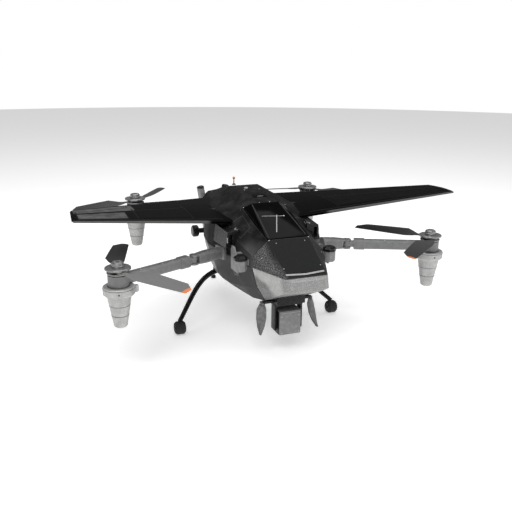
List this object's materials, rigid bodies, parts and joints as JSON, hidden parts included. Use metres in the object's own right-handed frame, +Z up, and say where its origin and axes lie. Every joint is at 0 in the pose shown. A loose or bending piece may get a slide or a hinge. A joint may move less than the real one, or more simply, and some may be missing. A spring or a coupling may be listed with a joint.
{
  "type": "folding hybrid drone with a fixed wing and lift rotors",
  "caption": "Small drone with a tapered fixed wing, folding rotor arms, a glazed nose, a gimbal camera and skid landing legs.",
  "frame": {"origin": "on the ground, under the middle of the whole part", "axes": "+X to the craft's left, -Y the way the nose points, +Z up"},
  "size_m": [0.7274, 0.6071, 0.2754],
  "materials": {
    "arm_grey": "grey anodised tube",
    "battery_wrap": "blue-black shrink wrap",
    "black_glass": "dark tinted glossy glazing",
    "blade_grey": "dark grey satin composite blade",
    "bonnet_grey": "near-black satin panel",
    "camera_grey": "light grey housing",
    "circuit_board": "board in a green potted tray",
    "dark_shell": "dark grey moulded shell with a fine speckle",
    "gloss_black": "gloss black",
    "motor_metal": "machined metal, lightly speckled",
    "orange": "orange tip marking",
    "rubber": "black moulded rubber",
    "side_grey": "mid grey satin moulding",
    "silver_paint": "silver paint with a fine sparkle, on moulded plastic",
    "tail_grey": "light grey satin moulding",
    "wing_black": "black lacquered composite"
  },
  "bodies": {
    "airframe": {"antenna": "orange", "battery": "battery_wrap", "belly_shell": "side_grey", "bonnet": "bonnet_grey", "camera_guard_left": "camera_grey", "camera_guard_right": "camera_grey", "canopy": "black_glass", "cockpit_frame": "camera_grey", "flight_controller": "circuit_board", "foot_left": "rubber", "foot_right": "rubber", "front_left_arm_root": "arm_grey", "front_right_arm_root": "arm_grey", "gimbal_mount": "gloss_black", "intake_left": "gloss_black", "intake_right": "gloss_black", "landing_leg_left": "gloss_black", "landing_leg_right": "gloss_black", "nose_fairing": "silver_paint", "rear_left_arm": "gloss_black", "rear_left_motor": "motor_metal", "rear_left_motor_pod": "silver_paint", "rear_right_arm": "gloss_black", "rear_right_motor": "motor_metal", "rear_right_motor_pod": "silver_paint", "rear_sensor_left": "gloss_black", "rear_sensor_right": "gloss_black", "side_pod_left": "camera_grey", "side_pod_right": "camera_grey", "tail_fairing": "tail_grey", "tail_skid": "gloss_black", "tail_tube_left": "camera_grey", "tail_tube_right": "camera_grey", "upper_shell": "dark_shell", "wing_left": "wing_black", "wing_right": "wing_black", "wing_spar": "gloss_black"},
    "front_left_folding_arm": {"front_left_arm": "arm_grey", "front_left_motor": "motor_metal", "front_left_motor_pod": "silver_paint"},
    "front_left_rotor": {"front_left_hub": "motor_metal"},
    "front_left_blade_a_body": {"front_left_blade_a": "blade_grey"},
    "front_left_blade_b_body": {"front_left_blade_b": "blade_grey"},
    "rear_left_rotor": {"rear_left_hub": "motor_metal"},
    "rear_left_blade_a_body": {"rear_left_blade_a": "blade_grey"},
    "rear_left_blade_b_body": {"rear_left_blade_b": "blade_grey"},
    "aileron_left_body": {"aileron_left": "wing_black"},
    "front_right_folding_arm": {"front_right_arm": "arm_grey", "front_right_motor": "motor_metal", "front_right_motor_pod": "silver_paint"},
    "front_right_rotor": {"front_right_hub": "motor_metal"},
    "front_right_blade_a_body": {"front_right_blade_a": "blade_grey"},
    "front_right_blade_b_body": {"front_right_blade_b": "blade_grey"},
    "rear_right_rotor": {"rear_right_hub": "motor_metal"},
    "rear_right_blade_a_body": {"rear_right_blade_a": "blade_grey"},
    "rear_right_blade_b_body": {"rear_right_blade_b": "blade_grey"},
    "aileron_right_body": {"aileron_right": "wing_black"},
    "gimbal_yaw_body": {"gimbal_yoke": "gloss_black"},
    "camera_body": {"camera": "camera_grey"}
  },
  "joints": [
    {"name": "front_left_arm_fold", "type": "hinge", "parent": "airframe", "child": "front_left_folding_arm", "pos_m": [0.1545, -0.099, 0.189], "axis": [0, 0, 1], "range_deg": [0, 65]},
    {"name": "front_right_arm_fold", "type": "hinge", "parent": "airframe", "child": "front_right_folding_arm", "pos_m": [-0.1545, -0.099, 0.189], "axis": [0, 0, -1], "range_deg": [0, 65]},
    {"name": "front_left_spin", "type": "hinge", "parent": "front_left_folding_arm", "child": "front_left_rotor", "pos_m": [0.3, -0.165, 0.189], "axis": [0, 0, 1], "continuous": true},
    {"name": "front_left_blade_a_fold", "type": "hinge", "parent": "front_left_rotor", "child": "front_left_blade_a_body", "pos_m": [0.3012, -0.15256, 0.188], "axis": [0, 0, 1], "range_deg": [-45.5, 18]},
    {"name": "front_left_blade_b_fold", "type": "hinge", "parent": "front_left_rotor", "child": "front_left_blade_b_body", "pos_m": [0.2988, -0.17744, 0.188], "axis": [0, 0, -1], "range_deg": [-45.5, 18]},
    {"name": "rear_left_spin", "type": "hinge", "parent": "airframe", "child": "rear_left_rotor", "pos_m": [0.2015, 0.18, 0.2275], "axis": [0, 0, 1], "continuous": true},
    {"name": "rear_left_blade_a_fold", "type": "hinge", "parent": "rear_left_rotor", "child": "rear_left_blade_a_body", "pos_m": [0.19126, 0.18717, 0.2265], "axis": [0, 0, 1], "range_deg": [-25, 38]},
    {"name": "rear_left_blade_b_fold", "type": "hinge", "parent": "rear_left_rotor", "child": "rear_left_blade_b_body", "pos_m": [0.21174, 0.17283, 0.2265], "axis": [0, 0, -1], "range_deg": [-25, 38]},
    {"name": "front_right_spin", "type": "hinge", "parent": "front_right_folding_arm", "child": "front_right_rotor", "pos_m": [-0.3, -0.165, 0.189], "axis": [0, 0, 1], "continuous": true},
    {"name": "front_right_blade_a_fold", "type": "hinge", "parent": "front_right_rotor", "child": "front_right_blade_a_body", "pos_m": [-0.29815, -0.17736, 0.188], "axis": [0, 0, 1], "range_deg": [-24.5, 35]},
    {"name": "front_right_blade_b_fold", "type": "hinge", "parent": "front_right_rotor", "child": "front_right_blade_b_body", "pos_m": [-0.30185, -0.15264, 0.188], "axis": [0, 0, -1], "range_deg": [-24.5, 35]},
    {"name": "rear_right_spin", "type": "hinge", "parent": "airframe", "child": "rear_right_rotor", "pos_m": [-0.2015, 0.18, 0.2275], "axis": [0, 0, 1], "continuous": true},
    {"name": "rear_right_blade_a_fold", "type": "hinge", "parent": "rear_right_rotor", "child": "rear_right_blade_a_body", "pos_m": [-0.19185, 0.18795, 0.2265], "axis": [0, 0, 1], "range_deg": [-17.5, 45]},
    {"name": "rear_right_blade_b_fold", "type": "hinge", "parent": "rear_right_rotor", "child": "rear_right_blade_b_body", "pos_m": [-0.21114, 0.17205, 0.2265], "axis": [0, 0, -1], "range_deg": [-17.5, 45]},
    {"name": "aileron_left_hinge", "type": "hinge", "parent": "airframe", "child": "aileron_left_body", "pos_m": [0.30139, -0.05461, 0.26199], "axis": [0.827, -0.5523, 0.1054], "range_deg": [-20, 20]},
    {"name": "aileron_right_hinge", "type": "hinge", "parent": "airframe", "child": "aileron_right_body", "pos_m": [-0.30139, -0.05461, 0.26199], "axis": [0.827, 0.5523, -0.1054], "range_deg": [-20, 20]},
    {"name": "gimbal_yaw", "type": "hinge", "parent": "airframe", "child": "gimbal_yaw_body", "pos_m": [0, -0.165, 0.0957], "axis": [0, 0, 1], "range_deg": [-45, 45]},
    {"name": "camera_tilt", "type": "hinge", "parent": "gimbal_yaw_body", "child": "camera_body", "pos_m": [0, -0.165, 0.052], "axis": [1, 0, 0], "range_deg": [-25, 90]}
  ]
}
